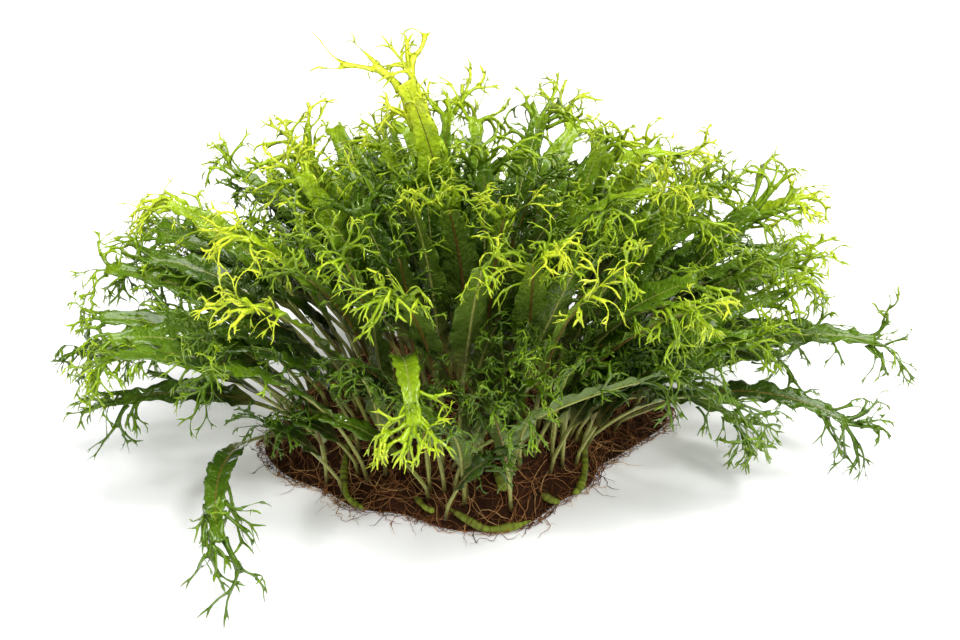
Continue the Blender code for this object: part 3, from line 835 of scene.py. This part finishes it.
def grow_level(rng, shoots, level, reach):
    """One level of shoots: their rings, and the shoots that fork from their ends."""
    at, ahead, across, width = shoots
    count, steps = len(at), SHOOT_STEPS[level]
    length = rng.uniform(*SHOOT_LENGTHS[level], count) * reach
    share = np.linspace(0.0, 1.0, steps)
    turn, pitch, spin = (
        rng.uniform(-most, most, count)[:, None, None] * share[:, None]
        for most in (SHOOT_BEND, SHOOT_BEND, SHOOT_TWIST)
    )
    heads, sides = turned(turn, ahead[:, None], across[:, None])
    heads, tops = turned(pitch, heads, np.cross(ahead, across)[:, None])
    sides, tops = turned(spin, sides, tops)
    heads = heads - np.array([0.0, 0.0, SHOOT_SAG[level]]) * share[None, :, None]
    heads /= np.linalg.norm(heads, axis=2, keepdims=True)
    strides = (heads[:, 1:] + heads[:, :-1]) / 2 * (length / (steps - 1))[:, None, None]
    line = at[:, None] + np.concatenate([np.zeros((count, 1, 3)), np.cumsum(strides, axis=1)], axis=1)
    last = level == len(SHOOT_LENGTHS) - 1
    half = width[:, None] / 2 * np.interp(share, *(TAPERING if last else FORKING))
    thinning = np.interp(share, (0.0, 1.0), (1.0, 0.5 if last else 1.0))
    thick = SHOOT_THICKNESS / 2 * (1.15 - 0.12 * level) * thinning
    to_side, to_top = sides * half[..., None], tops * thick[:, None]
    rings = np.stack([line + to_side, line + to_top, line - to_side, line - to_top], axis=2)
    forks = rng.choice(FORK_COUNTS, count)
    parent = np.repeat(np.arange(count), forks)
    order = np.concatenate([np.arange(fork) / (fork - 1) - 0.5 for fork in forks]) if count else np.zeros(0)
    young = len(parent)
    angle = order * rng.uniform(*FORK_SPREAD, count)[parent]
    angle = angle + rng.uniform(-FORK_JITTER, FORK_JITTER, young)
    head, side, top = heads[parent, -1], sides[parent, -1], tops[parent, -1]
    new_ahead, new_side = turned(angle[:, None], head, side)
    new_side = turned(rng.uniform(-FORK_TILT, FORK_TILT, young)[:, None], new_side, top)[0]
    end = half[parent, -1][:, None]
    start = line[parent, -1] - head * end * 0.6 + side * order[:, None] * end * 0.9
    return rings, (start, new_ahead, new_side, 2 * end[:, 0] * rng.uniform(*FORK_WIDTH, young))


def crest_shoots(rng, frond, arms, fingers, spread, reach):
    """Where the crest starts: arms from the blade's end, and fingers along its last margins."""
    line, across, length, width, tone = frond
    count = arms + fingers
    ends = np.linspace(-1, 1, arms) if arms > 1 else np.zeros(1)
    share = np.concatenate([np.full(arms, CREST_START), rng.uniform(*FINGER_SHARE, fingers)])
    hand = np.where(np.arange(fingers) % 2, 1.0, -1.0)
    edge = np.concatenate([ends * ARM_PLACE, hand * FINGER_PLACE])
    angle = np.concatenate([ends * rng.uniform(*ARM_ANGLE), hand * rng.uniform(*FINGER_ANGLE, fingers)])
    angle = angle * spread + rng.uniform(-0.12, 0.12, count)
    place, side = on_line(share, line), unit(on_line(share, across))
    head = unit(on_line(share + 0.02, line) - on_line(share - 0.02, line))
    start = place + side * (half_width(share, width) * edge)[:, None]
    size = np.repeat((ARM_WIDTH, FINGER_WIDTH), (arms, fingers))
    size = size * rng.uniform(0.8, 1.2, count) * math.sqrt(reach)
    if arms == 1:
        size[0] = 2 * half_width(CREST_START, width)
    shoots = (start, *turned(angle[:, None], head, side), size)
    return [part[:arms] for part in shoots], [part[arms:] for part in shoots]


def grow_crest(rng, frond, arms, fingers, spread, reach, first):
    """All rings of a crest with their marks, its arms from their first level and its fingers from 1."""
    tone = frond[4]
    levels = []
    from_end, from_margin = crest_shoots(rng, frond, arms, fingers, spread, reach)
    for shoots, start in ((from_end, first), (from_margin, 1)):
        for level in range(start, len(SHOOT_LENGTHS)):
            rings, shoots = grow_level(rng, shoots, level, reach)
            rings = above_floor(rings)
            marks = blank_marks(rings)
            marks[..., ALONG] = PLAIN_ALONG
            # The crest's tone carries painted light by its place in the clump: darker inside as painted shade,
            # paler and yellower at the top.
            marks[..., TONE] = tone - 0.12 + 0.06 * level + 0.49 * painted_light(rings)
            marks[..., 3, UNDER] = 0.5
            marks[..., RUST] = 0.5
            levels.append((rings, marks))
    return levels


# Habits of the crests: arms, fingers, spread of the arms, reach of the shoots, and the level that
# the arms start from. A lone arm carries on the blade itself, and draws it out to one point.
CREST_HABITS = {
    "usual": (5, 4, 1.0, 1.0, 0),
    "small": (3, 4, 0.9, 0.90, 0),
    "broad": (3, 2, 0.8, 0.65, 0),
    "short": (3, 3, 0.9, 0.60, 0),
    "frond_tallest": (2, 9, 0.25, 1.75, 0),
    "frond_trailing_left": (2, 10, 0.4, 1.2, 0),
    "frond_front_level": (1, 0, 1.0, 3.4, 3),
}
CREST_SIZE = (0.75, 1.1)
FROND_TONE = 0.11
YOUTH_TONE = 0.34
# Columns of the map that blades, ribs and crests take: where each starts, and how wide it is.
BLADE_COLUMN = (0.0, 0.42)
RIB_COLUMN = (0.43, 0.09)
CREST_COLUMN = (0.53, 0.47)


def map_column(count, column):
    """Cells for so many tubes in one column of the map."""
    return map_cells(count, column[0], 0.0, column[1], 1.0)


def add_fronds(skin, fronds, seed, blade_steps, half_count):
    """Adds whole fronds to a skin, from the name of each or of its habit, its foot, shape and youth."""
    blades, ribs = map_column(len(fronds), BLADE_COLUMN), map_column(len(fronds), RIB_COLUMN)
    crests = []
    for k, (name, foot, row, youth) in enumerate(fronds):
        rng = np.random.default_rng(seed + k)
        frond = (*centre_line(foot, row), row[3], row[4], FROND_TONE + YOUTH_TONE * youth)
        add_blade(skin, rng, frond, blade_steps, half_count, blades[k : k + 1])
        add_rib(skin, rng, frond, max(blade_steps // 3, 14), ribs[k : k + 1])
        arms, fingers, spread, reach, first = CREST_HABITS.get(name, CREST_HABITS["usual"])
        reach = reach * rng.uniform(*CREST_SIZE)
        crests += grow_crest(rng, frond, arms, fingers, spread, reach, first)
    shoots = map_column(sum(len(rings) for rings, marks in crests), CREST_COLUMN)
    used = 0
    for rings, marks in crests:
        skin.add(rings, marks, shoots[used : used + len(rings)])
        used += len(rings)


BIG_DETAIL = (80, 9)  # steps along a blade, and points across it
# The greatest youth of each age of leaf, and how freely it is specked with brown.
LEAF_AGES = (("old_leaf", 0.33, 0.30), ("grown_leaf", 0.67, 0.28), ("young_leaf", 1.0, 0.22))
leaf_looks = {age: leaf_finish(age, specks) for age, greatest, specks in LEAF_AGES}
for order, (name, foot, row, youth) in enumerate(lay_out_fronds()):
    skin = Skin()
    age = next(age for age, greatest, specks in LEAF_AGES if youth <= greatest)
    add_fronds(skin, [(name, foot, row, youth)], 100 + order, *BIG_DETAIL)
    piece = skin.build(name + "_leaf", leaf_looks[age])
    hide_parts(name)

# ---- Smaller fronds between ----
# The clump's many lesser leaves, which fill it out between the big ones. They are the same kind of
# leaf, so they are built the same way, joined into one piece for each sector of the clump.

FILL_SECTORS = 8
FILL_DETAIL = (30, 7)
FILL = Rule(128, 0.4, 0.90, 30, 46, 9, 14, 66, 18, (0.092, 0.150), (0.011, 0.017), 26, (-12, 50))
BROADER = 1.35  # every third one has a broader blade and a lesser crest
# Leaves on the left of the clump are darkened as painted shade: their youth is halved from this cosine of the
# angle on.
SHADED_SIDE = -0.4
# Fronds whose tips would hang in this part of the front are short and darker, so that it stays open.
OPEN_FRONT = -0.045
OPEN_HALF_WIDTH = 0.120
OPEN_TOP = 0.136
OPEN_SHORTENING = 0.70
OPEN_YOUTH = 0.4
OPEN_WIDTH = (0.011, 0.017)
# Short leaves round the foot of the clump: how many stand between which angles, and the ranges of
# their share of the way out, turn from it, rise, droop, roll, length, width, swing and youth.
FOOT_LEAVES = ((34, (222, 330)), (15, (345, 570)))
FOOT_LEAF_SHAPE = ((0.66, 0.97), (-40, 62), (58, 84), (6, 62), (10, 60), (0.056, 0.092))
FOOT_LEAF_SHAPE += ((0.011, 0.017), (-20, 20), (0.0, 0.5))


def fill_frond(rng, k):
    """Angle round the mat of one smaller frond, and its habit, foot, shape and youth."""
    angle, spot, (*bearing, length, width, swing, roll) = ruled_frond(rng, FILL, k)
    foot = foot_on_mat(*spot)
    # Painted shade on the left of the clump: youth is halved there, so those leaves take a darker green.
    youth = rng.uniform(0, 1) * (1.0 if math.cos(angle) > SHADED_SIDE else 0.5)
    x, y, z = centre_line(foot, (*bearing, length, width, swing, roll))[0][-1]
    habit = "small"
    if y < OPEN_FRONT and abs(x) < OPEN_HALF_WIDTH and z < OPEN_TOP:
        habit, youth = "short", OPEN_YOUTH * youth
        length, width = OPEN_SHORTENING * length, rng.uniform(*OPEN_WIDTH)
    elif k % 3 == 1:
        habit, width = "broad", BROADER * width
    return angle, (habit, foot, (*bearing, length, width, swing, roll), youth)


def foot_leaf(rng, sector):
    """Angle round the mat of one short leaf near the fringe, and its habit, foot, shape and youth."""
    angle = math.radians(rng.uniform(*sector))
    out, turn, rise, droop, roll, *size, swing, youth = (rng.uniform(*span) for span in FOOT_LEAF_SHAPE)
    radius = out * mat_radius(angle)
    foot = foot_on_mat(radius * math.cos(angle), radius * math.sin(angle))
    heading = math.degrees(angle) + turn
    return angle, ("short", foot, (heading, rise, droop, *size, swing, roll * light_side(heading)), youth)


rng = np.random.default_rng(77)
fill = [fill_frond(rng, k) for k in range(FILL.count)]
fill += [foot_leaf(rng, sector) for count, sector in FOOT_LEAVES for _ in range(count)]
for sector in range(FILL_SECTORS):
    skin = Skin()
    fronds = [frond for angle, frond in fill if int(angle % math.tau / math.tau * FILL_SECTORS) == sector]
    add_fronds(skin, fronds, 3000 + 100 * sector, *FILL_DETAIL)
    piece = skin.build(f"small_fronds_{sector + 1}", leaf_looks["grown_leaf"])

# ---- Studio ----
# A plain white table with no edge in sight, under one broad soft light almost overhead. Three small
# lamps, in front, at the left and behind on the right, make the glints on the wet leaves.

FLOOR_SIZE = 12.0
FLOOR_DROP = 0.0002
FLOOR_GLOW = 0.22
# Name, place, height aimed at, size across and power of each lamp.
LAMPS = (
    ("front_light", (0.50, -1.30, 1.30), 0.08, 0.28, 13.0),
    ("left_light", (-1.05, -0.45, 1.10), 0.10, 0.2, 5.0),
    ("right_light", (0.95, 0.70, 1.20), 0.10, 0.2, 5.0),
)
OVERHEAD_STRENGTH = 2.9
OVERHEAD_SOFTNESS = math.radians(40)
OVERHEAD_TILT = (math.radians(-4), math.radians(9), 0.0)
# Brightness of the white room: as it lights the clump, in the clump's gloss, and as a backdrop.
ROOM_LIGHT = 0.34
ROOM_GLOSS = 0.05
ROOM_WHITE = 1.0
CAMERA_TARGET = (0.0075, 0.0254, 0.0484)
CAMERA_DISTANCE = 1.13
CAMERA_ELEVATION = math.radians(25)

bpy.ops.mesh.primitive_plane_add(size=FLOOR_SIZE, location=(0.0, 0.0, -FLOOR_DROP))
floor = bpy.context.object
floor.name = "studio_floor"
floor_look = new_finish(
    "studio_white",
    Roughness=0.7,
    Base_Color=(0.90, 0.90, 0.91, 1.0),
    Emission_Color=(1.0, 1.0, 1.0, 1.0),
    Emission_Strength=FLOOR_GLOW,
)[0]
floor.data.materials.append(floor_look)

for name, place, aim, size, power in LAMPS:
    lamp = bpy.data.lights.new(name, "AREA")
    lamp.shape = "DISK"
    lamp.size = size
    lamp.energy = power
    light = bpy.data.objects.new(name, lamp)
    light.location = place
    light.rotation_euler = (Vector((0.0, 0.0, aim)) - Vector(place)).to_track_quat("-Z", "Y").to_euler()
    bpy.context.scene.collection.objects.link(light)
overhead = bpy.data.lights.new("overhead_light", "SUN")
overhead.energy = OVERHEAD_STRENGTH
overhead.angle = OVERHEAD_SOFTNESS
light = bpy.data.objects.new("overhead_light", overhead)
light.rotation_euler = OVERHEAD_TILT
bpy.context.scene.collection.objects.link(light)

room = bpy.data.worlds.new("studio")
room.use_nodes = True
path = wire(room.node_tree, "LightPath").node.outputs
glow = {"Value": path["Is Glossy Ray"], "To Min": ROOM_LIGHT, "To Max": ROOM_GLOSS}
glow = wire(room.node_tree, "MapRange", glow)
glow = wire(room.node_tree, "MapRange", {"Value": path["Is Camera Ray"], "To Min": glow, "To Max": ROOM_WHITE})
background = room.node_tree.nodes["Background"]
background.inputs["Color"].default_value = (1.0, 1.0, 1.0, 1.0)
room.node_tree.links.new(glow, background.inputs["Strength"])
bpy.context.scene.world = room
bpy.context.scene.view_settings.view_transform = "Standard"

camera_data = bpy.data.cameras.new("camera")
camera_data.lens = 85.0
camera_data.sensor_width = 36.0
camera = bpy.data.objects.new("camera", camera_data)
camera.location = (
    CAMERA_TARGET[0],
    CAMERA_TARGET[1] - CAMERA_DISTANCE * math.cos(CAMERA_ELEVATION),
    CAMERA_TARGET[2] + CAMERA_DISTANCE * math.sin(CAMERA_ELEVATION),
)
camera.rotation_euler = (math.radians(90) - CAMERA_ELEVATION, 0.0, 0.0)
bpy.context.scene.collection.objects.link(camera)
bpy.context.scene.camera = camera
